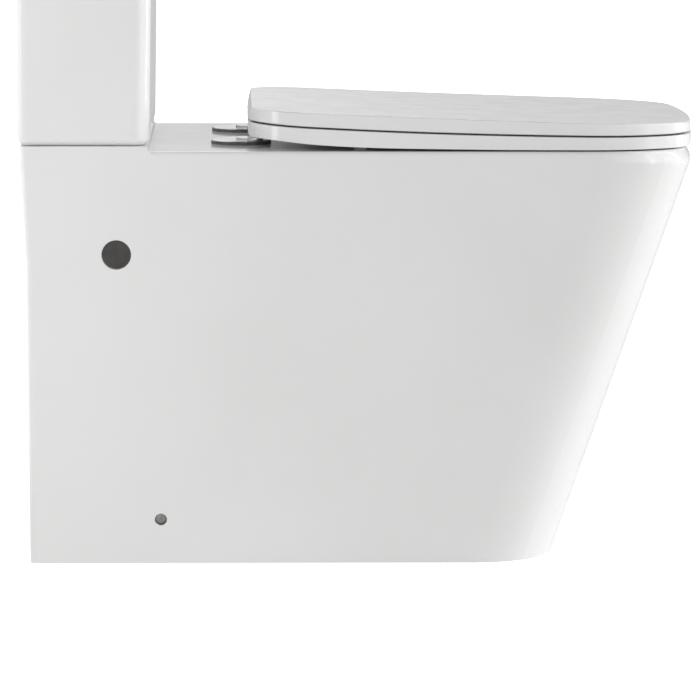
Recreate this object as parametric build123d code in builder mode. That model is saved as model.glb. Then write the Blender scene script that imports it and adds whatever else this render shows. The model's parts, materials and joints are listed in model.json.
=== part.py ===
from build123d import *
import os
from math import sin, cos, tan, pi, radians, asin, atan, copysign

os.makedirs("parts", exist_ok=True)

# =====================================================================
# Close coupled toilet, fully skirted, back to wall.
# Millimetres.  X across, -Y towards the front, +Y towards the wall,
# +Z up.  The floor is z = 0 and the wall face of the cistern is Y_WALL.
# =====================================================================

# ---- driving dimensions ---------------------------------------------
W = 360.0                 # width over the pan's sides
Y_WALL = 330.0            # cistern's wall face
DECK_Z = 400.0            # top of the pan's rim and deck
PLAT_Z = 405.0            # raised platform that carries the cistern
TIP_TOP = -334.1          # front of the pan where its sloping face would meet the deck
TIP_BASE = -195.7         # front of the pan's foot
NOSE_R = 12.0             # rounding of the rim over the sloping front
REAR_TOP, REAR_MID, REAR_BASE = 328.2, 322.3, 320.0
MID_Z = 290.0
LIP_R = 4.8               # rounding of the rim's and deck's upper edge
WALL = 11.0               # skirt wall
DECK_T = 18.0             # deck and rim plate

# bowl and trapway
BOWL_Y = -112.0
BOWL_HW, BOWL_HL = 130.0, 166.0
BOWL_T = 12.0
TRAP_R, TRAP_RO = 38.0, 48.0
OUT_Z = 180.0             # outlet centre height
OUT_END = 318.0           # end of the outlet's spigot, just inside the skirt's back edge
SPIGOT_R = 51.0
SPIGOT_Y0, SPIGOT_Y1 = 222.0, 258.0

# cistern
TANK_HW = 179.0
TANK_F_BOT, TANK_F_TOP = 203.5, 198.5
TANK_TOP = 815.0
TANK_WALL = 9.0
TANK_FLOOR = 13.0
CLID_T = 35.0
CLID_OVER = 2.5
VALVE_Y = 265.0           # flush valve and button axis
BOLT_X, BOLT_Y = 88.0, 250.0
FILL_X = 125.0
BTN_R = 29.6
BTN_TRAVEL = 8.0

# seat, lid and hinges
SEAT_HW = 178.5
SEAT_TIP = -330.0
SEAT_BACK = 108.9
SEAT_BACK_R = 65.0
HINGE_X = 77.5
DISC_Y, DISC_R, DISC_T = 115.5, 29.2, 4.0
AX_Y, AX_Z = 103.2, 417.8 # seat and lid pivot line
PIN_R = 3.0
LUG_R = 5.4               # round lugs and post heads about the pivot line
LID_IN = 0.8              # the lid sits this far inside the seat's outline
LIFT_GAP = 1.6            # shadow gap between seat and lid

# side holes
BIG_Y, BIG_Z, BIG_R = 235.4, 300.5, 14.25
SMALL_Y, SMALL_Z, SMALL_R = 193.2, 43.0, 5.85


# ---- plan outline ----------------------------------------------------
def plan_outline(hw, y_tip, y_back, r_corner, r_side, r_back, sb1=0.11, b2=0.95):
    """Bowed front, two-radius front corners, straight sides, rounded back."""
    b1 = asin(sb1)
    r1 = r_corner + (hw - r_corner * sin(b2) - r_side * (1 - sin(b2))) / sb1
    x1, y1 = r1 * sin(b1), y_tip + r1 * (1 - cos(b1))
    c2x, c2y = (r1 - r_corner) * sin(b1), y_tip + r1 - (r1 - r_corner) * cos(b1)
    p = lambda cx, cy, r, a: (cx + r * sin(a), cy - r * cos(a))
    m2, e2 = p(c2x, c2y, r_corner, (b1 + b2) / 2), p(c2x, c2y, r_corner, b2)
    c3x = c2x + (r_corner - r_side) * sin(b2)
    c3y = c2y - (r_corner - r_side) * cos(b2)
    m3, e3 = p(c3x, c3y, r_side, (b2 + pi / 2) / 2), (hw, c3y)
    q = r_back * (1 - cos(pi / 4))
    mx = lambda t: (-t[0], t[1])
    ThreePointArc((-x1, y1), (0, y_tip), (x1, y1))
    ThreePointArc((x1, y1), m2, e2)
    ThreePointArc(e2, m3, e3)
    Line(e3, (hw, y_back - r_back))
    ThreePointArc((hw, y_back - r_back), (hw - q, y_back - q), (hw - r_back, y_back))
    Line((hw - r_back, y_back), (-(hw - r_back), y_back))
    ThreePointArc((-(hw - r_back), y_back), (-(hw - q), y_back - q), (-hw, y_back - r_back))
    Line((-hw, y_back - r_back), mx(e3))
    ThreePointArc(mx(e3), mx(m3), mx(e2))
    ThreePointArc(mx(e2), mx(m2), (-x1, y1))


def oval(hx, hy, n, cy, count=28):
    """Points of a rounded oval, squarer as n grows."""
    pts = []
    for i in range(count):
        t = 2 * pi * i / count
        c, s = cos(t), sin(t)
        pts.append((hx * copysign(abs(c) ** (2 / n), c), cy + hy * copysign(abs(s) ** (2 / n), s)))
    return pts


SLOPE = (TIP_BASE - TIP_TOP) / DECK_Z
LEAN = atan(SLOPE)
NOSE_Z = DECK_Z - NOSE_R
NOSE_Y = TIP_TOP + SLOPE * NOSE_R + NOSE_R / cos(LEAN)      # centre of the nose rounding
NOSE_END = radians(34)
NOSE_TOP = NOSE_Z + NOSE_R * sin(NOSE_END)


def tip(z):
    """Front of the pan at height z: sloping face, round nose, short lead-in to the deck."""
    if z <= NOSE_Z - NOSE_R * sin(LEAN):
        return TIP_BASE - SLOPE * z
    if z <= NOSE_TOP:
        return NOSE_Y - NOSE_R * cos(asin((z - NOSE_Z) / NOSE_R))
    return NOSE_Y - NOSE_R * cos(NOSE_END) + (z - NOSE_TOP) * tan(NOSE_END)


NOSE_LEVELS = [NOSE_Z + NOSE_R * sin(-LEAN + (NOSE_END + LEAN) * i / 8) for i in range(9)]


def level(z):
    """Outer outline of the pan at height z, as plan_outline arguments."""
    t = z / DECK_Z
    rear = (REAR_BASE + (REAR_MID - REAR_BASE) * z / MID_Z if z <= MID_Z
            else REAR_MID + (REAR_TOP - REAR_MID) * (z - MID_Z) / (DECK_Z - MID_Z))
    return dict(hw=W / 2, y_tip=tip(z), y_back=rear,
                r_corner=76 + (72 - 76) * t, r_side=80 + (104 - 80) * t, r_back=7.0)


# =====================================================================
# Pan: skirt, deck, bowl, trapway and flush duct in one casting
# =====================================================================
with BuildPart() as pan:
    # skirt and deck, outer form
    for za in (0.0, MID_Z, *NOSE_LEVELS, DECK_Z):
        with BuildSketch(Plane.XY.offset(za)):
            with BuildLine():
                plan_outline(**level(za))
            make_face()
    loft(ruled=True)
    fillet(pan.faces().sort_by(Axis.Z)[-1].edges(), LIP_R)
    # platform under the cistern, flush with the sides
    with BuildSketch(Plane.XY.offset(DECK_Z - 9)):
        with Locations((0, (205 + REAR_TOP - 0.4) / 2)):
            Rectangle(W, REAR_TOP - 0.4 - 205)
        fillet(vertices().group_by(Axis.Y)[-1], 6.6)
    extrude(amount=PLAT_Z - DECK_Z + 9)
    fillet(pan.edges().filter_by(Axis.X).filter_by(lambda e: abs(e.center().Z - DECK_Z) < 0.01
           and abs(e.center().Y - 205) < 0.5), 3.0)
    fillet(pan.faces().sort_by(Axis.Z)[-1].edges(), 1.5)

    # hollow of the skirt, open to the floor
    for za in (0.0, MID_Z, DECK_Z - DECK_T):
        lv = level(za)
        with BuildSketch(Plane.XY.offset(za if za else -0.01)):
            with BuildLine():
                plan_outline(W / 2 - WALL, lv["y_tip"] + WALL * 1.1, lv["y_back"] - WALL,
                             lv["r_corner"] - WALL, lv["r_side"] - WALL, 12.0)
            make_face()
    loft(ruled=True, mode=Mode.SUBTRACT)
    # open back for pipes and hands
    with BuildSketch(Plane.XZ.offset(-(REAR_BASE - WALL - 6))):
        with Locations((0, 182.0)):
            RectangleRounded(296, 366, 18)
        with Locations((0, 60.0)):
            Rectangle(296, 122)
    extrude(amount=-40, mode=Mode.SUBTRACT)

    # flush duct block behind the bowl
    with BuildSketch(Plane.XY.offset(336)):
        with Locations((0, 170)):
            Rectangle(124, 270)
        fillet(vertices(), 12)
    extrude(amount=60)
    # bowl, outer form
    B = [(DECK_Z - 1, 0, 0, 0, 2.5), (372, 0, 1, 0, 2.5), (330, 8, 10, 3, 2.45), (285, 26, 32, 10, 2.3),
         (240, 46, 58, 22, 2.15), (195, 66, 84, 40, 2.05), (150, 82, 108, 62, 2.0), (112, 90, 118, 77, 2.0)]
    for z, dx, dy, dc, n in B:
        with BuildSketch(Plane.XY.offset(z)):
            with BuildLine():
                Spline(oval(BOWL_HW - dx + BOWL_T, BOWL_HL - dy + BOWL_T, n, BOWL_Y + dc), periodic=True)
            make_face()
    loft()
    # trapway, outer form
    with BuildLine(Plane.YZ) as trap_path:
        FilletPolyline((-35, 112), (30, 84), (86, 204), (150, 204), (196, OUT_Z), (SPIGOT_Y1 - 2, OUT_Z),
                       radius=(52, 58, 76, 76))
    with BuildSketch(Plane(origin=trap_path.line @ 0, z_dir=trap_path.line % 0)):
        Circle(TRAP_RO)
    sweep(path=trap_path.line)
    with Locations((0, -35, 112)):
        Sphere(TRAP_RO + 2)
    with BuildSketch(Plane.XZ.offset(-SPIGOT_Y0)):
        with Locations((0, OUT_Z)):
            Circle(SPIGOT_R)
    extrude(amount=-(SPIGOT_Y1 - SPIGOT_Y0))

    # bowl, water space
    for z, dx, dy, dc, n in B:
        with BuildSketch(Plane.XY.offset(z if z < 380 else DECK_Z + 1)):
            with BuildLine():
                Spline(oval(BOWL_HW - dx, BOWL_HL - dy, n, BOWL_Y + dc), periodic=True)
            make_face()
    loft(mode=Mode.SUBTRACT)
    with BuildSketch(Plane(origin=trap_path.line @ 0, z_dir=trap_path.line % 0)):
        Circle(TRAP_R)
    sweep(path=trap_path.line, mode=Mode.SUBTRACT)
    with Locations((0, -35, 112)):
        Sphere(TRAP_R + 1.5, mode=Mode.SUBTRACT)
    with BuildSketch(Plane.XZ.offset(-(SPIGOT_Y1 - 30))):
        with Locations((0, OUT_Z)):
            Circle(TRAP_R)
    extrude(amount=-40, mode=Mode.SUBTRACT)

    # flush way: recess for the coupling gasket, drop, duct to the bowl's back wall
    with BuildSketch(Plane.XY.offset(373)):
        with Locations((0, VALVE_Y)):
            Circle(47)
    extrude(amount=60, mode=Mode.SUBTRACT)
    with BuildSketch(Plane.XY.offset(349)):
        with Locations((0, VALVE_Y)):
            Circle(32)
        with Locations((0, 148)):
            Rectangle(58, 230)
    extrude(amount=27, mode=Mode.SUBTRACT)

    # deck holes: seat hinges, cistern bolts, inlet shank
    with BuildSketch(Plane.XY.offset(DECK_Z - 60)):
        with Locations((HINGE_X, DISC_Y), (-HINGE_X, DISC_Y)):
            Circle(7)
        with Locations((BOLT_X, BOLT_Y), (-BOLT_X, BOLT_Y)):
            Circle(7)
        with Locations((FILL_X, VALVE_Y)):
            Circle(24)
    extrude(amount=90, mode=Mode.SUBTRACT)
    # side holes, both sides
    with BuildSketch(Plane.YZ.offset(-W / 2 - 5)):
        with Locations((BIG_Y, BIG_Z)):
            Circle(BIG_R)
        with Locations((SMALL_Y, SMALL_Z)):
            Circle(SMALL_R)
    extrude(amount=25, mode=Mode.SUBTRACT)
    with BuildSketch(Plane.YZ.offset(W / 2 - 20)):
        with Locations((BIG_Y, BIG_Z)):
            Circle(BIG_R)
        with Locations((SMALL_Y, SMALL_Z)):
            Circle(SMALL_R)
    extrude(amount=25, mode=Mode.SUBTRACT)
pan.part.label = "pan"
export_step(pan.part, "parts/pan.step")


# =====================================================================
# Cistern
# =====================================================================
def round_box(x0, x1, y0, y1, r_front, r_rear):
    """Rectangle with its own radius at the front and the rear corners."""
    qf, qr = r_front * (1 - cos(pi / 4)), r_rear * (1 - cos(pi / 4))
    Line((x0 + r_front, y0), (x1 - r_front, y0))
    ThreePointArc((x1 - r_front, y0), (x1 - qf, y0 + qf), (x1, y0 + r_front))
    Line((x1, y0 + r_front), (x1, y1 - r_rear))
    ThreePointArc((x1, y1 - r_rear), (x1 - qr, y1 - qr), (x1 - r_rear, y1))
    Line((x1 - r_rear, y1), (x0 + r_rear, y1))
    ThreePointArc((x0 + r_rear, y1), (x0 + qr, y1 - qr), (x0, y1 - r_rear))
    Line((x0, y1 - r_rear), (x0, y0 + r_front))
    ThreePointArc((x0, y0 + r_front), (x0 + qf, y0 + qf), (x0 + r_front, y0))


FLOOR_Z = PLAT_Z + TANK_FLOOR
with BuildPart() as cistern_tank:
    for z, yf in ((PLAT_Z, TANK_F_BOT), (TANK_TOP, TANK_F_TOP)):
        with BuildSketch(Plane.XY.offset(z)):
            with BuildLine():
                round_box(-TANK_HW, TANK_HW, yf, Y_WALL, 18, 9)
            make_face()
    loft(ruled=True)
    fillet(cistern_tank.faces().sort_by(Axis.Z)[0].edges(), 8.0)
    for z, yf in ((FLOOR_Z, TANK_F_BOT), (TANK_TOP + 1, TANK_F_TOP)):
        with BuildSketch(Plane.XY.offset(z)):
            with BuildLine():
                round_box(-TANK_HW + TANK_WALL, TANK_HW - TANK_WALL, yf + TANK_WALL, Y_WALL - TANK_WALL, 10, 8)
            make_face()
    loft(ruled=True, mode=Mode.SUBTRACT)
    with BuildSketch(Plane.XY.offset(PLAT_Z - 1)):
        with Locations((0, VALVE_Y)):
            Circle(31)
        with Locations((BOLT_X, BOLT_Y), (-BOLT_X, BOLT_Y)):
            Circle(6)
        with Locations((FILL_X, VALVE_Y)):
            Circle(11.5)
    extrude(amount=TANK_FLOOR + 2, mode=Mode.SUBTRACT)
    fillet(cistern_tank.faces().sort_by(Axis.Z)[-1].edges(), 2.0)
cistern_tank.part.label = "cistern_tank"
export_step(cistern_tank.part, "parts/cistern_tank.step")

LID_Z = TANK_TOP + CLID_T
with BuildPart() as cistern_lid:
    with BuildSketch(Plane.XY.offset(TANK_TOP)):
        with BuildLine():
            round_box(-TANK_HW - CLID_OVER, TANK_HW + CLID_OVER, TANK_F_TOP - CLID_OVER, Y_WALL, 20, 10)
        make_face()
    extrude(amount=CLID_T)
    fillet(cistern_lid.faces().sort_by(Axis.Z)[-1].edges(), 6.0)
    fillet(cistern_lid.faces().sort_by(Axis.Z)[0].edges(), 1.5)
    # locating lip that drops inside the tank
    with BuildSketch(Plane.XY.offset(TANK_TOP - 8)):
        with BuildLine():
            round_box(-TANK_HW + 11.5, TANK_HW - 11.5, TANK_F_TOP + 12, Y_WALL - 11.5, 9, 7)
        make_face()
    extrude(amount=10)
    # hollow underside
    with BuildSketch(Plane.XY.offset(TANK_TOP - 9)):
        with BuildLine():
            round_box(-TANK_HW + 20, TANK_HW - 20, TANK_F_TOP + 20, Y_WALL - 20, 8, 6)
        make_face()
    extrude(amount=9 + CLID_T - 12, mode=Mode.SUBTRACT)
    with BuildSketch(Plane.XY.offset(TANK_TOP)):
        with Locations((0, VALVE_Y)):
            Circle(33.0)
    extrude(amount=CLID_T + 5, mode=Mode.SUBTRACT)
    fillet(cistern_lid.edges().filter_by(GeomType.CIRCLE).filter_by(
        lambda e: abs(e.radius - 33) < 0.1 and e.center().Z > LID_Z - 1), 1.2)
cistern_lid.part.label = "cistern_lid"
export_step(cistern_lid.part, "parts/cistern_lid.step")

# ---- dual flush button set -------------------------------------------
with BuildPart() as button_bezel:
    with BuildSketch(Plane.XZ.offset(-VALVE_Y)):
        with BuildLine():
            Polyline((19.0, 820.0), (32.8, 820.0), (32.8, LID_Z), (37.0, LID_Z), (37.0, LID_Z + 1.0),
                     (35.4, LID_Z + 2.4), (30.2, LID_Z + 2.4), (30.2, 823.0), (19.0, 823.0), close=True)
        make_face()
    revolve(axis=Axis((0, VALVE_Y, 0), (0, 0, 1)))
button_bezel.part.label = "button_bezel"
export_step(button_bezel.part, "parts/button_bezel.step")

BTN_Z0, BTN_Z1 = 834.0, LID_Z + 2.0
SPLIT_X = 6.0             # the half flush key is the smaller one
ROD_X = (-9.0, 13.0)
ROD_Z = 764.0


def button(side):
    """One key of the button with its push rod; side -1 full flush, +1 half flush."""
    with BuildPart() as key:
        with BuildSketch(Plane.XY.offset(BTN_Z0)):
            with Locations((0, VALVE_Y)):
                Circle(BTN_R)
            with Locations((SPLIT_X - side * (50 - 0.4), VALVE_Y)):
                Rectangle(100, 80, mode=Mode.SUBTRACT)
        extrude(amount=BTN_Z1 - BTN_Z0)
        fillet(key.faces().sort_by(Axis.Z)[-1].edges(), 1.2)
        with BuildSketch(Plane.XY.offset(ROD_Z)):
            with Locations((ROD_X[0] if side < 0 else ROD_X[1], VALVE_Y)):
                Circle(3.0)
        extrude(amount=BTN_Z0 - ROD_Z + 1)
    return key


full_flush_button = button(-1)
full_flush_button.part.label = "full_flush_button"
export_step(full_flush_button.part, "parts/full_flush_button.step")

half_flush_button = button(1)
half_flush_button.part.label = "half_flush_button"
export_step(half_flush_button.part, "parts/half_flush_button.step")

# ---- flush valve ------------------------------------------------------
VAX = Axis((0, VALVE_Y, 0), (0, 0, 1))
with BuildPart() as flush_valve_base:
    with BuildSketch(Plane.XZ.offset(-VALVE_Y)):
        with BuildLine():
            Polyline((24, 380), (29, 380), (29, FLOOR_Z + 3), (40, FLOOR_Z + 3), (40, FLOOR_Z + 8),
                     (38, FLOOR_Z + 8), (38, 505), (22, 505), (22, 740), (18.5, 740), (18.5, 501),
                     (34.5, 501), (34.5, FLOOR_Z + 8), (24, FLOOR_Z + 8), close=True)
        make_face()
    revolve(axis=VAX)
    # windows that let the water in
    with BuildSketch(Plane.XZ.offset(-VALVE_Y)):
        with Locations((0, 464)):
            RectangleRounded(34, 56, 5)
    extrude(amount=60, both=True, mode=Mode.SUBTRACT)
    with BuildSketch(Plane.YZ):
        with Locations((VALVE_Y, 464)):
            RectangleRounded(34, 56, 5)
    extrude(amount=60, both=True, mode=Mode.SUBTRACT)
flush_valve_base.part.label = "flush_valve_base"
export_step(flush_valve_base.part, "parts/flush_valve_base.step")

with BuildPart() as flush_valve_core:
    with BuildSketch(Plane.XZ.offset(-VALVE_Y)):
        with BuildLine():
            Polyline((14.5, FLOOR_Z + 11), (31, FLOOR_Z + 11), (31, FLOOR_Z + 15), (17.5, FLOOR_Z + 15),
                     (17.5, 712), (14.5, 712), close=True)
        make_face()
    revolve(axis=VAX)
flush_valve_core.part.label = "flush_valve_core"
export_step(flush_valve_core.part, "parts/flush_valve_core.step")


def rings(profile, places):
    """Stack of flat rings (outer radius, inner radius, z0, z1), one stack at each place."""
    with BuildPart() as stack:
        for r_out, r_in, z0, z1 in profile:
            with BuildSketch(Plane.XY.offset(z0)):
                with Locations(*places):
                    Circle(r_out)
                    if r_in:
                        Circle(r_in, mode=Mode.SUBTRACT)
            extrude(amount=z1 - z0)
    return stack


flush_valve_seal = rings([(30.0, 18.5, FLOOR_Z + 8, FLOOR_Z + 11)], [(0, VALVE_Y)])
flush_valve_seal.part.label = "flush_valve_seal"
export_step(flush_valve_seal.part, "parts/flush_valve_seal.step")

with BuildPart() as flush_valve_head:
    with BuildSketch(Plane.XZ.offset(-VALVE_Y)):
        with BuildLine():
            Polyline((19, 740), (30, 740), (30, 762), (0, 762), (0, 758), (26, 758), (26, 743), (19, 743), close=True)
        make_face()
    revolve(axis=VAX)
    with BuildSketch(Plane.XY.offset(757)):
        with Locations((ROD_X[0], VALVE_Y), (ROD_X[1], VALVE_Y)):
            Circle(4.0)
    extrude(amount=8, mode=Mode.SUBTRACT)
flush_valve_head.part.label = "flush_valve_head"
export_step(flush_valve_head.part, "parts/flush_valve_head.step")

flush_valve_gasket = rings([(39.0, 31.0, FLOOR_Z, FLOOR_Z + 3)], [(0, VALVE_Y)])
flush_valve_gasket.part.label = "flush_valve_gasket"
export_step(flush_valve_gasket.part, "parts/flush_valve_gasket.step")

with BuildPart() as flush_valve_nut:
    with BuildSketch(Plane.XY.offset(393)):
        with Locations((0, VALVE_Y)):
            RegularPolygon(39.5, 8)
            Circle(29.05, mode=Mode.SUBTRACT)
    extrude(amount=PLAT_Z - 393)
flush_valve_nut.part.label = "flush_valve_nut"
export_step(flush_valve_nut.part, "parts/flush_valve_nut.step")

coupling_gasket = rings([(46.8, 40.5, 373, PLAT_Z), (46.8, 32.0, 373, 384)], [(0, VALVE_Y)])
coupling_gasket.part.label = "coupling_gasket"
export_step(coupling_gasket.part, "parts/coupling_gasket.step")

# ---- bolts that clamp the cistern to the pan --------------------------
BP = [(BOLT_X, BOLT_Y), (-BOLT_X, BOLT_Y)]
UNDER = DECK_Z - DECK_T
with BuildPart() as cistern_bolts:
    with BuildSketch(Plane.XY.offset(340)):
        with Locations(*BP):
            Circle(4.0)
    extrude(amount=FLOOR_Z + 3 - 340)
    with BuildSketch(Plane.XY.offset(FLOOR_Z + 3)):
        with Locations(*BP):
            Circle(8.0)
    extrude(amount=5.5)
    with BuildSketch(Plane.XY.offset(FLOOR_Z + 6.5)):
        with Locations(*BP):
            Rectangle(20, 2)
    extrude(amount=3, mode=Mode.SUBTRACT)
cistern_bolts.part.label = "cistern_bolts"
export_step(cistern_bolts.part, "parts/cistern_bolts.step")

cistern_bolt_rubber_washers = rings([(13.0, 4.05, FLOOR_Z, FLOOR_Z + 3)], BP)
cistern_bolt_rubber_washers.part.label = "cistern_bolt_rubber_washers"
export_step(cistern_bolt_rubber_washers.part, "parts/cistern_bolt_rubber_washers.step")

cistern_bolt_plate_washers = rings([(12.5, 4.3, UNDER - 2, UNDER)], BP)
cistern_bolt_plate_washers.part.label = "cistern_bolt_plate_washers"
export_step(cistern_bolt_plate_washers.part, "parts/cistern_bolt_plate_washers.step")

with BuildPart() as cistern_wing_nuts:
    with BuildSketch(Plane.XY.offset(UNDER - 11)):
        with Locations(*BP):
            Circle(8.0)
            Rectangle(34, 4)
            Circle(4.05, mode=Mode.SUBTRACT)
    extrude(amount=9)
cistern_wing_nuts.part.label = "cistern_wing_nuts"
export_step(cistern_wing_nuts.part, "parts/cistern_wing_nuts.step")

# ---- fill valve --------------------------------------------------------
FAX = Axis((FILL_X, VALVE_Y, 0), (0, 0, 1))
with BuildPart() as fill_valve_body:
    with BuildSketch(Plane.XZ.offset(-VALVE_Y)):
        with BuildLine():
            Polyline((FILL_X + 6, 340), (FILL_X + 10.3, 340), (FILL_X + 10.3, 380), (FILL_X + 11.1, 380.8), (FILL_X + 11.1, FLOOR_Z + 3), (FILL_X + 18, FLOOR_Z + 3),
                     (FILL_X + 18, FLOOR_Z + 8), (FILL_X + 12, FLOOR_Z + 8), (FILL_X + 12, 690),
                     (FILL_X + 20, 690), (FILL_X + 20, 704), (FILL_X + 0, 704), (FILL_X + 0, 700),
                     (FILL_X + 6, 700), close=True)
        make_face()
    revolve(axis=FAX)
    # ears that hold the float lever
    with BuildSketch(Plane.XY.offset(703)):
        with Locations((FILL_X - 7.75, 283), (FILL_X + 7.75, 283)):
            Rectangle(3.5, 10)
    extrude(amount=12)
    with BuildSketch(Plane.YZ.offset(FILL_X - 15)):
        with Locations((283, 710)):
            Circle(2.04)
    extrude(amount=30, mode=Mode.SUBTRACT)
    # drop pipe that fills the cistern quietly, with its short arm
    with BuildSketch(Plane.XY.offset(520)):
        with Locations((FILL_X - 37, VALVE_Y)):
            Circle(5)
    extrude(amount=182)
    with BuildSketch(Plane.YZ.offset(FILL_X - 37)):
        with Locations((VALVE_Y, 697)):
            Circle(4.5)
    extrude(amount=22)
    with BuildSketch(Plane.XY.offset(519)):
        with Locations((FILL_X - 37, VALVE_Y)):
            Circle(3.5)
    extrude(amount=175, mode=Mode.SUBTRACT)
fill_valve_body.part.label = "fill_valve_body"
export_step(fill_valve_body.part, "parts/fill_valve_body.step")

fill_valve_washer = rings([(17.0, 11.2, FLOOR_Z, FLOOR_Z + 3)], [(FILL_X, VALVE_Y)])
fill_valve_washer.part.label = "fill_valve_washer"
export_step(fill_valve_washer.part, "parts/fill_valve_washer.step")

with BuildPart() as fill_valve_nut:
    with BuildSketch(Plane.XY.offset(395)):
        with Locations((FILL_X, VALVE_Y)):
            RegularPolygon(19.0, 6)
            Circle(11.15, mode=Mode.SUBTRACT)
    extrude(amount=PLAT_Z - 395)
fill_valve_nut.part.label = "fill_valve_nut"
export_step(fill_valve_nut.part, "parts/fill_valve_nut.step")

with BuildPart() as fill_float:
    with BuildSketch(Plane.XY.offset(590)):
        with Locations((FILL_X, VALVE_Y)):
            Circle(30)
            Circle(12.6, mode=Mode.SUBTRACT)
    extrude(amount=64)
    fillet(fill_float.edges().filter_by(GeomType.CIRCLE).filter_by(lambda e: e.radius > 25), 3)
    with BuildSketch(Plane.XY.offset(650)):
        with Locations((FILL_X, 239)):
            Circle(2.0)
    extrude(amount=705 - 650)
fill_float.part.label = "fill_float"
export_step(fill_float.part, "parts/fill_float.step")

with BuildPart() as fill_valve_lever:
    with BuildSketch(Plane.YZ.offset(FILL_X - 5)):
        with BuildLine():
            Polyline((232, 706), (286, 706), (288, 709), (288, 712), (286, 714), (278, 714), (274, 710.5),
                     (232, 710.5), close=True)
        make_face()
        with Locations((283, 710)):
            Circle(2.05, mode=Mode.SUBTRACT)
    extrude(amount=10)
fill_valve_lever.part.label = "fill_valve_lever"
export_step(fill_valve_lever.part, "parts/fill_valve_lever.step")

with BuildPart() as lever_pin:
    with BuildSketch(Plane.YZ.offset(FILL_X - 10)):
        with Locations((283, 710)):
            Circle(2.0)
    extrude(amount=20)
lever_pin.part.label = "lever_pin"
export_step(lever_pin.part, "parts/lever_pin.step")

# =====================================================================
# Seat, lid and hinges
# =====================================================================
# side profiles along Y: underside of the seat, top of the seat, top of the lid
SEAT_BOT = [(-345, 401.2), (-268, 401.4), (-190, 401.5), (-113, 401.9), (-75, 402.4), (-37, 402.9), (1, 404.0),
            (40, 406.1), (70, 408.7), (92, 410.3), (104.6, 410.9)]
SEAT_TOP = [(-345, 413.3), (-230, 413.5), (-150, 414.7), (-75, 416.6), (20, 420.4), (60, 422.4), (115, 425.2)]
LID_TOP = [(-345, 425.0), (-290, 425.8), (-180, 428.6), (-83, 431.8), (13, 435.4), (60, 437.5), (115, 440.2)]


def band(lower, upper):
    """Closed strip between two side profiles."""
    Spline(lower)
    if lower[-1][0] < upper[-1][0] - 5:
        # rounded heel under the back edge
        y0, z0 = lower[-1]
        r = SEAT_BACK - y0
        ThreePointArc((y0, z0), (y0 + r * sin(pi / 4), z0 + r * (1 - cos(pi / 4)) * 0.86), (y0 + r, z0 + r * 0.86))
        Line((y0 + r, z0 + r * 0.86), (upper[-1][0], z0 + r * 0.86))
        Line((upper[-1][0], z0 + r * 0.86), upper[-1])
    else:
        Line(lower[-1], upper[-1])
    Spline(upper)
    Line(upper[0], lower[0])


LID_BOT = [(y, z + LIFT_GAP) for y, z in SEAT_TOP]


def seat_outer(p):
    """True for points on the seat's outer wall."""
    return abs(p.X) > 130 or p.Y < -255
NOTCH_HW = 21.0           # half width of the hinge notch in the seat


def pin_hole(x0, x1):
    """Bore along the pivot line between two X positions."""
    with BuildPart() as piece:
        with BuildSketch(Plane.YZ.offset(x0)):
            with Locations((AX_Y, AX_Z)):
                Circle(PIN_R + 0.06)
        extrude(amount=x1 - x0)
    return piece.part


with BuildPart() as seat_ring:
    with BuildSketch(Plane.XY.offset(395)):
        with BuildLine():
            plan_outline(SEAT_HW, SEAT_TIP, SEAT_BACK, 71.0, 130.0, SEAT_BACK_R)
        make_face()
        with BuildLine():
            Spline(oval(112, 142, 2.5, -112), periodic=True)
        make_face(mode=Mode.SUBTRACT)
        with Locations((HINGE_X, SEAT_BACK), (-HINGE_X, SEAT_BACK)):
            Rectangle(2 * NOTCH_HW, 2 * (SEAT_BACK - 85), mode=Mode.SUBTRACT)
    extrude(amount=40)
    with BuildSketch(Plane.YZ):
        with BuildLine():
            band(SEAT_BOT, SEAT_TOP)
        make_face()
    extrude(amount=200, both=True, mode=Mode.INTERSECT)
    # softened outer edges
    rim = [e for e in seat_ring.edges() if (e @ 0.5).Y < 84 and seat_outer(e @ 0.5)
           and abs((e % 0.5).Z) < 0.5]
    fillet(rim, 0.8)
    # upper back edge rounded off so that the lid's back edge can swing past it
    with BuildSketch(Plane.YZ.offset(-200)):
        with Locations((AX_Y + 7, AX_Z + 7)):
            Rectangle(8, 8)
        with Locations((AX_Y, AX_Z)):
            Circle(8.0, mode=Mode.SUBTRACT)
    extrude(amount=400, mode=Mode.SUBTRACT)
    # knuckle holes on the pivot line
    for x0 in (-108.6, 46.4):
        add(pin_hole(x0, x0 + 62.2), mode=Mode.SUBTRACT)
seat_ring.part.label = "seat_ring"
export_step(seat_ring.part, "parts/seat_ring.step")

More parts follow.
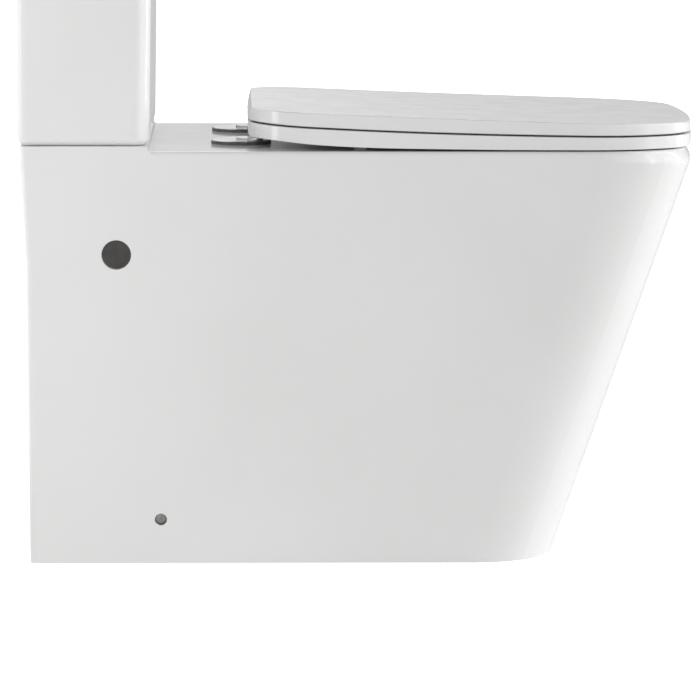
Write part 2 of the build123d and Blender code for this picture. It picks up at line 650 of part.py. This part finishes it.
with BuildPart() as seat_lid:
    with BuildSketch(Plane.XY.offset(395)):
        with BuildLine():
            plan_outline(SEAT_HW - LID_IN, SEAT_TIP + LID_IN, SEAT_BACK, 71.0, 130.0, SEAT_BACK_R)
        make_face()
    extrude(amount=60)
    with BuildSketch(Plane.YZ):
        with BuildLine():
            band(LID_BOT, LID_TOP)
        make_face()
    extrude(amount=200, both=True, mode=Mode.INTERSECT)
    # crisp, lightly rounded upper edge all round
    fillet(seat_lid.faces().sort_by(Axis.Z)[-1].edges(), 1.8)
    # shallow hollow underneath, leaving the rim and the hinge rail
    with BuildPart(mode=Mode.PRIVATE) as hollow:
        with BuildSketch(Plane.XY.offset(395)):
            with BuildLine():
                plan_outline(SEAT_HW - 12, SEAT_TIP + 12, 76, 59.0, 118.0, 30.0)
            make_face()
        extrude(amount=60)
        with BuildSketch(Plane.YZ):
            with BuildLine():
                band([(y, z - 10) for y, z in SEAT_BOT], [(y, z - 4.6) for y, z in LID_TOP])
            make_face()
        extrude(amount=200, both=True, mode=Mode.INTERSECT)
    add(hollow.part, mode=Mode.SUBTRACT)
    # back face leaning forward towards the top
    with BuildSketch(Plane.YZ.offset(-200)):
        with BuildLine():
            Polyline((109.03, 425), (103.9, 445), (116, 445), (116, 425), close=True)
        make_face()
    extrude(amount=400, mode=Mode.SUBTRACT)
    # lugs that reach down to the pivot line inside the seat's notches
    for x0 in (-HINGE_X - 18.5, -HINGE_X + 10.5, HINGE_X - 18.5, HINGE_X + 10.5):
        with BuildSketch(Plane.YZ.offset(x0)):
            with Locations((AX_Y, AX_Z)):
                Circle(LUG_R)
            with Locations((AX_Y, AX_Z + 5)):
                Rectangle(2 * LUG_R, 10)
        extrude(amount=8)
    for x0 in (-108.6, 46.4):
        add(pin_hole(x0, x0 + 62.2), mode=Mode.SUBTRACT)
seat_lid.part.label = "seat_lid"
export_step(seat_lid.part, "parts/seat_lid.step")


# seat pads stand on the rim; the rear pair is thicker because the seat rises there
with BuildPart() as seat_bumpers:
    with BuildSketch(Plane.XY.offset(DECK_Z)):
        with Locations((105, -232), (-105, -232)):
            SlotOverall(26, 10)
    extrude(amount=1.5)
    with BuildSketch(Plane.XY.offset(DECK_Z)):
        with Locations((146, 0), (-146, 0)):
            SlotOverall(12, 11.9, rotation=90)
    extrude(amount=3.6)
seat_bumpers.part.label = "seat_bumpers"
export_step(seat_bumpers.part, "parts/seat_bumpers.step")

with BuildPart() as lid_bumpers:
    with BuildSketch(Plane.XY.offset(413.9)):
        with Locations((112, -262), (-112, -262)):
            SlotOverall(22, 8)
    extrude(amount=8.3)
lid_bumpers.part.label = "lid_bumpers"
export_step(lid_bumpers.part, "parts/lid_bumpers.step")

HP = [(HINGE_X, DISC_Y), (-HINGE_X, DISC_Y)]
with BuildPart() as hinge_discs:
    with BuildSketch(Plane.XY.offset(DECK_Z)):
        with Locations(*HP):
            Circle(DISC_R)
            Circle(4.05, mode=Mode.SUBTRACT)
    extrude(amount=DISC_T)
    fillet(hinge_discs.edges().filter_by(GeomType.CIRCLE).filter_by(
        lambda e: e.radius > 20 and e.center().Z > DECK_Z + 1), 1.2)
hinge_discs.part.label = "hinge_discs"
export_step(hinge_discs.part, "parts/hinge_discs.step")

# post: a low collar on the disc, a foot forward, a column up to the pivot line, a stud down through the deck
with BuildPart() as hinge_posts:
    with BuildSketch(Plane.XY.offset(DECK_Z + DISC_T)):
        with Locations((HINGE_X, DISC_Y - 9.5), (-HINGE_X, DISC_Y - 9.5)):
            Circle(14.5)
    extrude(amount=1.8)
    for x0 in (-HINGE_X - 7.5, HINGE_X - 7.5):
        with BuildSketch(Plane.YZ.offset(x0)):
            with BuildLine():
                Polyline((AX_Y - LUG_R, AX_Z), (AX_Y - 9.5, AX_Z - 9.5), (AX_Y - 15.2, DECK_Z + DISC_T + 1.6),
                         (AX_Y - 15.2, DECK_Z + DISC_T), (AX_Y + 4.2, DECK_Z + DISC_T), (AX_Y + 4.2, AX_Z), close=True)
            make_face()
            with Locations((AX_Y, AX_Z)):
                Circle(LUG_R)
        extrude(amount=15)
    with BuildSketch(Plane.YZ.offset(-120)):
        with Locations((AX_Y, AX_Z)):
            Circle(PIN_R + 0.02)
    extrude(amount=240, mode=Mode.SUBTRACT)
    with BuildSketch(Plane.XY.offset(350)):
        with Locations(*HP):
            Circle(4.0)
    extrude(amount=DECK_Z + DISC_T - 350 + 0.5)
hinge_posts.part.label = "hinge_posts"
export_step(hinge_posts.part, "parts/hinge_posts.step")

with BuildPart() as hinge_pins:
    with BuildSketch(Plane.YZ.offset(-108)):
        with Locations((AX_Y, AX_Z)):
            Circle(PIN_R)
    extrude(amount=61)
    with BuildSketch(Plane.YZ.offset(47)):
        with Locations((AX_Y, AX_Z)):
            Circle(PIN_R)
    extrude(amount=61)
hinge_pins.part.label = "hinge_pins"
export_step(hinge_pins.part, "parts/hinge_pins.step")

hinge_stud_washers = rings([(11.0, 4.3, UNDER - 2.5, UNDER)], HP)
hinge_stud_washers.part.label = "hinge_stud_washers"
export_step(hinge_stud_washers.part, "parts/hinge_stud_washers.step")

with BuildPart() as hinge_stud_nuts:
    with BuildSketch(Plane.XY.offset(UNDER - 12)):
        with Locations(*HP):
            RegularPolygon(8.5, 6)
            Circle(4.05, mode=Mode.SUBTRACT)
    extrude(amount=9.5)
hinge_stud_nuts.part.label = "hinge_stud_nuts"
export_step(hinge_stud_nuts.part, "parts/hinge_stud_nuts.step")

# =====================================================================
# Floor fixing and outlet
# =====================================================================
IN_X = W / 2 - WALL       # inner face of the skirt
with BuildPart() as floor_brackets:
    with BuildSketch(Plane.XZ.offset(-(SMALL_Y - 16))):
        with BuildLine():
            Polyline((IN_X - 0.3, 0), (IN_X - 0.3, 62), (IN_X - 8, 62), (IN_X - 8, 6), (IN_X - 48, 6), (IN_X - 48, 0),
                     close=True)
        make_face()
        with BuildLine():
            Polyline((-IN_X + 0.3, 0), (-IN_X + 0.3, 62), (-IN_X + 8, 62), (-IN_X + 8, 6), (-IN_X + 48, 6),
                     (-IN_X + 48, 0), close=True)
        make_face()
    extrude(amount=-32)
    with BuildSketch(Plane.XY.offset(-1)):
        with Locations((IN_X - 30, SMALL_Y), (-IN_X + 30, SMALL_Y)):
            Circle(3.25)
    extrude(amount=10, mode=Mode.SUBTRACT)
    with BuildSketch(Plane.YZ.offset(-200)):
        with Locations((SMALL_Y, SMALL_Z)):
            Circle(3.05)
    extrude(amount=400, mode=Mode.SUBTRACT)
floor_brackets.part.label = "floor_brackets"
export_step(floor_brackets.part, "parts/floor_brackets.step")

with BuildPart() as side_fixing_screws:
    with BuildSketch(Plane.YZ.offset(-IN_X - 3.5)):
        with Locations((SMALL_Y, SMALL_Z)):
            Circle(5.2)
    extrude(amount=3.8)
    with BuildSketch(Plane.YZ.offset(IN_X - 0.3)):
        with Locations((SMALL_Y, SMALL_Z)):
            Circle(5.2)
    extrude(amount=3.8)
    with BuildSketch(Plane.YZ.offset(-IN_X)):
        with Locations((SMALL_Y, SMALL_Z)):
            Circle(3.0)
    extrude(amount=20)
    with BuildSketch(Plane.YZ.offset(IN_X - 20)):
        with Locations((SMALL_Y, SMALL_Z)):
            Circle(3.0)
    extrude(amount=20)
side_fixing_screws.part.label = "side_fixing_screws"
export_step(side_fixing_screws.part, "parts/side_fixing_screws.step")

OAX = Axis((0, 0, OUT_Z), (0, 1, 0))
with BuildPart() as outlet_connector:
    with BuildSketch(Plane.YZ):
        with BuildLine():
            Polyline((232, OUT_Z + 55), (232, OUT_Z + 60), (266, OUT_Z + 60), (270, OUT_Z + 55),
                     (OUT_END, OUT_Z + 55), (OUT_END, OUT_Z + 51), (262, OUT_Z + 51), (262, OUT_Z + 55),
                     close=True)
        make_face()
    revolve(axis=OAX)
outlet_connector.part.label = "outlet_connector"
export_step(outlet_connector.part, "parts/outlet_connector.step")

with BuildPart() as outlet_seal:
    with BuildSketch(Plane.YZ):
        with Locations((243, OUT_Z + 53.01)):
            Rectangle(12, 3.9)
    revolve(axis=OAX)
outlet_seal.part.label = "outlet_seal"
export_step(outlet_seal.part, "parts/outlet_seal.step")
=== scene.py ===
import bpy
import json
from math import sin, cos, pi, radians, atan, sqrt
from mathutils import Vector, Matrix

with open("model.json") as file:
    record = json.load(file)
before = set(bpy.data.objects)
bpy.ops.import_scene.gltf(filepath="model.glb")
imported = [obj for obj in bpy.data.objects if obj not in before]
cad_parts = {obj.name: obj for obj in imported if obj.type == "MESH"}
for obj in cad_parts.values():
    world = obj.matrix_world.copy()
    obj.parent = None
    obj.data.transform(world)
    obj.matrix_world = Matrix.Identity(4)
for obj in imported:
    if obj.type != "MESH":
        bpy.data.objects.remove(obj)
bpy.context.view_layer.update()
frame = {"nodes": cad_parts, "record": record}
nodes = frame["nodes"]

# ---------------------------------------------------------------- camera
cam_data = bpy.data.cameras.new("camera")
cam = bpy.data.objects.new("camera", cam_data)
bpy.context.scene.collection.objects.link(cam)
bpy.context.scene.camera = cam
PITCH, YAW, ROLL = 0.1286, 0.0255, 0.0029
fwd0 = Vector((cos(YAW), -sin(YAW), 0.0))
right = Vector((-sin(YAW), -cos(YAW), 0.0))
fwd = fwd0 * cos(PITCH) - Vector((0, 0, 1)) * sin(PITCH)
up = Vector((0, 0, 1)) * cos(PITCH) + fwd0 * sin(PITCH)
r2, u2 = right * cos(ROLL) + up * sin(ROLL), up * cos(ROLL) - right * sin(ROLL)
m = Matrix((r2, u2, -fwd)).transposed().to_4x4()
m.translation = Vector((-4.4479, 0.1194, 0.7605))
cam.matrix_world = m
cam_data.sensor_width = 36.0
cam_data.lens = 229.57
cam_data.clip_start, cam_data.clip_end = 0.05, 200

# ---------------------------------------------------------------- materials


def new_mat(name):
    mat = bpy.data.materials.new(name)
    mat.use_nodes = True
    nt = mat.node_tree
    bsdf = nt.nodes["Principled BSDF"]
    return mat, nt, bsdf


def noise(nt, scale, detail=3.0, rough=0.5, loc=(0, 0, 0), stretch=(1, 1, 1)):
    tc = nt.nodes.new("ShaderNodeTexCoord")
    mp = nt.nodes.new("ShaderNodeMapping")
    mp.inputs["Location"].default_value = loc
    mp.inputs["Scale"].default_value = stretch
    nz = nt.nodes.new("ShaderNodeTexNoise")
    nz.inputs["Scale"].default_value = scale
    nz.inputs["Detail"].default_value = detail
    nz.inputs["Roughness"].default_value = rough
    nt.links.new(tc.outputs["Object"], mp.inputs["Vector"])
    nt.links.new(mp.outputs["Vector"], nz.inputs["Vector"])
    return nz


def ramp(nt, src, lo, hi, a=0.35, b=0.65):
    r = nt.nodes.new("ShaderNodeMapRange")
    r.inputs["From Min"].default_value = a
    r.inputs["From Max"].default_value = b
    r.inputs["To Min"].default_value = lo
    r.inputs["To Max"].default_value = hi
    nt.links.new(src.outputs["Fac"], r.inputs["Value"])
    return r


def colour(nt, src, c0, c1, a=0.35, b=0.65):
    r = nt.nodes.new("ShaderNodeValToRGB")
    r.color_ramp.elements[0].position, r.color_ramp.elements[1].position = a, b
    r.color_ramp.elements[0].color = (*c0, 1)
    r.color_ramp.elements[1].color = (*c1, 1)
    nt.links.new(src.outputs["Fac"], r.inputs["Fac"])
    return r


def bump(nt, bsdf, layers):
    """layers: (source, strength, distance)"""
    prev = None
    for src, strength, dist in layers:
        b = nt.nodes.new("ShaderNodeBump")
        b.inputs["Strength"].default_value = strength
        b.inputs["Distance"].default_value = dist
        nt.links.new(src.outputs["Fac"], b.inputs["Height"])
        if prev:
            nt.links.new(prev.outputs["Normal"], b.inputs["Normal"])
        prev = b
    nt.links.new(prev.outputs["Normal"], bsdf.inputs["Normal"])


def surface(name, c0, c1, rough=(0.3, 0.4), metallic=0.0, coat=0.0, coat_rough=0.03, ior=1.5,
            col_scale=12.0, rough_scale=40.0, bumps=((300.0, 0.05, 0.0002),), stretch=(1, 1, 1), spec=0.5):
    mat, nt, bsdf = new_mat(name)
    cn = noise(nt, col_scale, 4.0)
    nt.links.new(colour(nt, cn, c0, c1).outputs["Color"], bsdf.inputs["Base Color"])
    rn = noise(nt, rough_scale, 3.0, loc=(3.1, 1.7, 0.4), stretch=stretch)
    nt.links.new(ramp(nt, rn, *rough).outputs["Result"], bsdf.inputs["Roughness"])
    bump(nt, bsdf, [(noise(nt, s, 2.0, loc=(i * 2.3, 0.9, 1.1), stretch=stretch), st, d)
                    for i, (s, st, d) in enumerate(bumps)])
    bsdf.inputs["Metallic"].default_value = metallic
    bsdf.inputs["IOR"].default_value = ior
    bsdf.inputs["Coat Weight"].default_value = coat
    bsdf.inputs["Coat Roughness"].default_value = coat_rough
    bsdf.inputs["Specular IOR Level"].default_value = spec
    return mat


M = {
    "glazed_ceramic": surface("glazed_ceramic", (0.80, 0.80, 0.795), (0.825, 0.825, 0.822), rough=(0.07, 0.11),
                              col_scale=5.0, rough_scale=9.0, ior=1.5,
                              bumps=((7.0, 0.10, 0.0012), (60.0, 0.05, 0.00008))),
    "seat_plastic": surface("seat_plastic", (0.79, 0.79, 0.79), (0.81, 0.81, 0.81), rough=(0.16, 0.18),
                            col_scale=9.0, rough_scale=30.0, ior=1.48, bumps=((400.0, 0.008, 0.00004),)),
    "chrome_plastic": surface("chrome_plastic", (0.80, 0.80, 0.81), (0.84, 0.84, 0.85), rough=(0.05, 0.10),
                              metallic=1.0, rough_scale=60.0, bumps=((90.0, 0.03, 0.00005),)),
    "valve_plastic": surface("valve_plastic", (0.62, 0.64, 0.65), (0.68, 0.70, 0.71), rough=(0.35, 0.5),
                             bumps=((500.0, 0.15, 0.0001),)),
    "nut_plastic": surface("nut_plastic", (0.02, 0.03, 0.05), (0.03, 0.045, 0.07), rough=(0.35, 0.5),
                           bumps=((500.0, 0.2, 0.0001),)),
    "float_plastic": surface("float_plastic", (0.05, 0.14, 0.32), (0.065, 0.17, 0.37), rough=(0.35, 0.5),
                             bumps=((500.0, 0.15, 0.0001),)),
    "rubber": surface("rubber", (0.012, 0.012, 0.012), (0.02, 0.02, 0.02), rough=(0.65, 0.85),
                      bumps=((350.0, 0.3, 0.0002),)),
    "foam_rubber": surface("foam_rubber", (0.02, 0.02, 0.02), (0.035, 0.035, 0.035), rough=(0.8, 0.95),
                           bumps=((700.0, 0.6, 0.0005),)),
    "bumper_rubber": surface("bumper_rubber", (0.55, 0.55, 0.54), (0.62, 0.62, 0.61), rough=(0.5, 0.65),
                             bumps=((350.0, 0.2, 0.0001),)),
    "zinc_steel": surface("zinc_steel", (0.50, 0.49, 0.46), (0.62, 0.60, 0.55), rough=(0.28, 0.42), metallic=1.0,
                          bumps=((400.0, 0.1, 0.00005),)),
    "stainless": surface("stainless", (0.55, 0.55, 0.56), (0.62, 0.62, 0.63), rough=(0.18, 0.28), metallic=1.0,
                         bumps=((400.0, 0.05, 0.00005),)),
    "polished_steel": surface("polished_steel", (0.60, 0.60, 0.61), (0.68, 0.68, 0.69), rough=(0.10, 0.18),
                              metallic=1.0, rough_scale=80.0, bumps=((60.0, 0.04, 0.00005),)),
    "bracket_plastic": surface("bracket_plastic", (0.60, 0.60, 0.58), (0.66, 0.66, 0.64), rough=(0.4, 0.5),
                               bumps=((500.0, 0.15, 0.0001),)),
    "screw_steel": surface("screw_steel", (0.30, 0.30, 0.295), (0.45, 0.45, 0.44), rough=(0.4, 0.6), metallic=1.0,
                           col_scale=500.0, bumps=((900.0, 0.5, 0.0002),)),
    "pipe_plastic": surface("pipe_plastic", (0.70, 0.70, 0.68), (0.75, 0.75, 0.73), rough=(0.25, 0.35),
                            bumps=((300.0, 0.08, 0.0001),)),
}


def math_node(nt, op, a, b=None, clamp=False):
    n = nt.nodes.new("ShaderNodeMath")
    n.operation = op
    n.use_clamp = clamp
    for i, v in enumerate((a, b)):
        if v is None:
            continue
        if isinstance(v, (int, float)):
            n.inputs[i].default_value = v
        else:
            nt.links.new(v, n.inputs[i])
    return n.outputs[0]


def step(nt, value, edge, width, falling=False):
    """Smooth mask, 1 above the edge, or below it when falling."""
    r = nt.nodes.new("ShaderNodeMapRange")
    r.interpolation_type = "SMOOTHSTEP"
    r.inputs["From Min"].default_value = edge - width
    r.inputs["From Max"].default_value = edge + width
    r.inputs["To Min"].default_value = 1.0 if falling else 0.0
    r.inputs["To Max"].default_value = 0.0 if falling else 1.0
    nt.links.new(value, r.inputs["Value"])
    return r.outputs["Result"]


def pan_ceramic():
    """Glazed outside and in the bowl; the hollow skirt's bare fired body is rough and unglazed, and its dark grey
    is painted shade in that recess.
    """
    mat, nt, bsdf = new_mat("pan_ceramic")
    tc = nt.nodes.new("ShaderNodeTexCoord")
    sp = nt.nodes.new("ShaderNodeSeparateXYZ")
    nt.links.new(tc.outputs["Object"], sp.inputs[0])
    x, y, z = sp.outputs
    # mask of the hollow skirt: the dark colour it selects is painted shade; the extra roughness it adds is the
    # unglazed body
    hollow_body_and_shade = math_node(nt, "MULTIPLY", step(nt, math_node(nt, "ABSOLUTE", x), 0.1725, 0.002, True),
                       step(nt, z, 0.3875, 0.0015, True))
    hollow_body_and_shade = math_node(nt, "MULTIPLY", hollow_body_and_shade, step(nt, y, 0.055, 0.008))
    hollow_body_and_shade = math_node(nt, "MULTIPLY", hollow_body_and_shade, step(nt, y, 0.3165, 0.001, True))
    glaze = colour(nt, noise(nt, 5.0, 4.0), (0.80, 0.80, 0.795), (0.825, 0.825, 0.822))
    # painted shade: dark grey for the unglazed body in the hollow skirt, where shade falls
    painted_shade_body = colour(nt, noise(nt, 60.0, 6.0, 0.6), (0.147, 0.14, 0.133), (0.196, 0.189, 0.179))
    mix = nt.nodes.new("ShaderNodeMix")
    mix.data_type = "RGBA"
    nt.links.new(hollow_body_and_shade, mix.inputs["Factor"])
    nt.links.new(glaze.outputs["Color"], mix.inputs["A"])
    nt.links.new(painted_shade_body.outputs["Color"], mix.inputs["B"])
    nt.links.new(mix.outputs["Result"], bsdf.inputs["Base Color"])
    r0 = ramp(nt, noise(nt, 9.0, 3.0, loc=(3.1, 1.7, 0.4)), 0.07, 0.11).outputs["Result"]
    nt.links.new(math_node(nt, "ADD", r0, math_node(nt, "MULTIPLY", hollow_body_and_shade, 0.7)), bsdf.inputs["Roughness"])
    bump(nt, bsdf, [(noise(nt, 7.0, 2.0, loc=(0, 0.9, 1.1)), 0.10, 0.0012),
                    (noise(nt, 60.0, 2.0, loc=(2.3, 0.9, 1.1)), 0.05, 0.00008)])
    bsdf.inputs["IOR"].default_value = 1.5
    return mat


def hinge_disc():
    """Polished metal plate on a thin dark rubber pad."""
    mat, nt, bsdf = new_mat("hinge_disc")
    tc = nt.nodes.new("ShaderNodeTexCoord")
    sp = nt.nodes.new("ShaderNodeSeparateXYZ")
    nt.links.new(tc.outputs["Object"], sp.inputs[0])
    metal = step(nt, sp.outputs[2], 0.4031, 0.00015)
    steel = colour(nt, noise(nt, 60.0, 4.0), (0.60, 0.60, 0.61), (0.68, 0.68, 0.69))
    pad = colour(nt, noise(nt, 350.0, 3.0), (0.10, 0.098, 0.095), (0.15, 0.147, 0.144))
    mix = nt.nodes.new("ShaderNodeMix")
    mix.data_type = "RGBA"
    nt.links.new(metal, mix.inputs["Factor"])
    nt.links.new(pad.outputs["Color"], mix.inputs["A"])
    nt.links.new(steel.outputs["Color"], mix.inputs["B"])
    nt.links.new(mix.outputs["Result"], bsdf.inputs["Base Color"])
    nt.links.new(metal, bsdf.inputs["Metallic"])
    r0 = ramp(nt, noise(nt, 80.0, 3.0, loc=(3.1, 1.7, 0.4)), 0.10, 0.18).outputs["Result"]
    soft = math_node(nt, "MULTIPLY", math_node(nt, "SUBTRACT", 1.0, metal), 0.35)
    nt.links.new(math_node(nt, "ADD", r0, soft), bsdf.inputs["Roughness"])
    bump(nt, bsdf, [(noise(nt, 60.0, 2.0, loc=(0, 0.9, 1.1)), 0.04, 0.00005)])
    return mat


slot_of = {s["node"]: s["material_slot"] for s in frame["record"]["subparts"]}
for name, o in nodes.items():
    o.data.materials.clear()
    o.data.materials.append(M[slot_of[name]])
nodes["pan"].data.materials.clear()
nodes["pan"].data.materials.append(pan_ceramic())
nodes["hinge_discs"].data.materials.clear()
nodes["hinge_discs"].data.materials.append(hinge_disc())

# ---------------------------------------------------------------- floor
bm_floor = bpy.data.meshes.new("floor")
S = 60.0
bm_floor.from_pydata([(-S, -S, 0), (S, -S, 0), (S, S, 0), (-S, S, 0)], [], [(0, 1, 2, 3)])
floor = bpy.data.objects.new("floor", bm_floor)
bpy.context.scene.collection.objects.link(floor)
fm, fnt, fb = new_mat("floor_paper")
fn = noise(fnt, 3.0, 4.0)
fnt.links.new(colour(fnt, fn, (0.54, 0.54, 0.54), (0.56, 0.56, 0.56)).outputs["Color"], fb.inputs["Base Color"])
fb.inputs["Roughness"].default_value = 0.9
fb.inputs["Specular IOR Level"].default_value = 0.1
fb.inputs["Emission Color"].default_value = (1, 1, 1, 1)
flp = fnt.nodes.new("ShaderNodeLightPath")
glow = fnt.nodes.new("ShaderNodeMapRange")
glow.inputs["To Min"].default_value = 0.30
glow.inputs["To Max"].default_value = 1.6
fnt.links.new(flp.outputs["Is Camera Ray"], glow.inputs["Value"])
fnt.links.new(glow.outputs["Result"], fb.inputs["Emission Strength"])
floor.data.materials.append(fm)

# ---------------------------------------------------------------- light
scene = bpy.context.scene
scene.view_settings.view_transform = "Standard"
scene.view_settings.look = "None"
world = bpy.data.worlds.new("studio")
scene.world = world
world.use_nodes = True
wn = world.node_tree
bg = wn.nodes["Background"]
bg.inputs["Color"].default_value = (0.8, 0.8, 0.8, 1)

# white walls round the set, as bright as their azimuth and height say: 0 deg is the
# camera's side (-X), 90 deg the pan's front (-Y); each entry fades out over 30 deg
WALL = {
    0: {-180: 0.477, -90: 0.444, 0: 0.536, 30: 2.806, 60: 3.723, 90: 2.475},
    30: {-180: 3.42, 0: 1.039, 30: 1.73, 60: 2.072, 90: 0.996},
}
wtc = wn.nodes.new("ShaderNodeTexCoord")
wsp = wn.nodes.new("ShaderNodeSeparateXYZ")
wn.links.new(wtc.outputs["Generated"], wsp.inputs[0])
azim = math_node(wn, "ARCTAN2", math_node(wn, "MULTIPLY", wsp.outputs[1], -1.0),
                 math_node(wn, "MULTIPLY", wsp.outputs[0], -1.0))
elev = math_node(wn, "ARCSINE", wsp.outputs[2])


def hat(away):
    return math_node(wn, "SUBTRACT", 1.0, math_node(wn, "DIVIDE", away, radians(30)), True)


sky = 0.0
for level, values in WALL.items():
    row = 0.0
    for middle, value in values.items():
        away = math_node(wn, "ABSOLUTE", math_node(wn, "SUBTRACT", azim, radians(middle)))
        away = math_node(wn, "MINIMUM", away, math_node(wn, "SUBTRACT", 2 * pi, away))
        row = math_node(wn, "ADD", math_node(wn, "MULTIPLY", hat(away), value), row)
    away = math_node(wn, "ABSOLUTE", math_node(wn, "SUBTRACT", elev, radians(level)))
    sky = math_node(wn, "ADD", math_node(wn, "MULTIPLY", row, hat(away)), sky)
wn.links.new(sky, bg.inputs["Strength"])
lp = wn.nodes.new("ShaderNodeLightPath")
bg2 = wn.nodes.new("ShaderNodeBackground")
bg2.inputs["Color"].default_value = (1, 1, 1, 1)
bg2.inputs["Strength"].default_value = 1.0
mx = wn.nodes.new("ShaderNodeMixShader")
out = wn.nodes["World Output"]
wn.links.new(lp.outputs["Is Camera Ray"], mx.inputs["Fac"])
wn.links.new(bg.outputs["Background"], mx.inputs[1])
wn.links.new(bg2.outputs["Background"], mx.inputs[2])
wn.links.new(mx.outputs["Shader"], out.inputs["Surface"])


def softbox(name, azimuth, height, dist, size, aim, power):
    """A rectangular light standing dist away at that azimuth, aimed at the object's axis."""
    a = radians(azimuth)
    loc = Vector((-cos(a) * dist, -sin(a) * dist, height))
    d = bpy.data.lights.new(name, "AREA")
    d.shape = "RECTANGLE"
    d.size, d.size_y = size
    d.energy = power
    o = bpy.data.objects.new(name, d)
    o.location = loc
    o.rotation_mode = "QUATERNION"
    o.rotation_quaternion = (Vector((0, 0, aim)) - loc).to_track_quat("-Z", "Y")
    o.visible_camera = False
    bpy.context.scene.collection.objects.link(o)
    return o


W = 20.0
softbox("rear_110", -110, 0.5, 0.8, (0.5, 1.0), 0.4, 0.045 * W)
softbox("rear_90", -90, 0.5, 0.8, (0.5, 1.0), 0.4, 0.08 * W)
softbox("rear_45", -45, 0.5, 0.95, (0.5, 1.0), 0.4, 0.050 * W)
softbox("rear_20", -20, 0.5, 0.9, (0.4, 1.0), 0.4, 0.011 * W)
softbox("strip_60", 60, 0.9, 2.5, (0.22, 1.8), 0.5, 0.153 * W)
softbox("strip_105", 105, 0.9, 2.5, (0.22, 1.8), 0.5, 1.178 * W)
softbox("strip_back", -71, 0.9, 2.5, (0.55, 1.8), 0.5, 0.72 * W)
softbox("top_front", 90, 1.5, 1.2, (1.0, 1.0), 0.3, 0.275 * W)
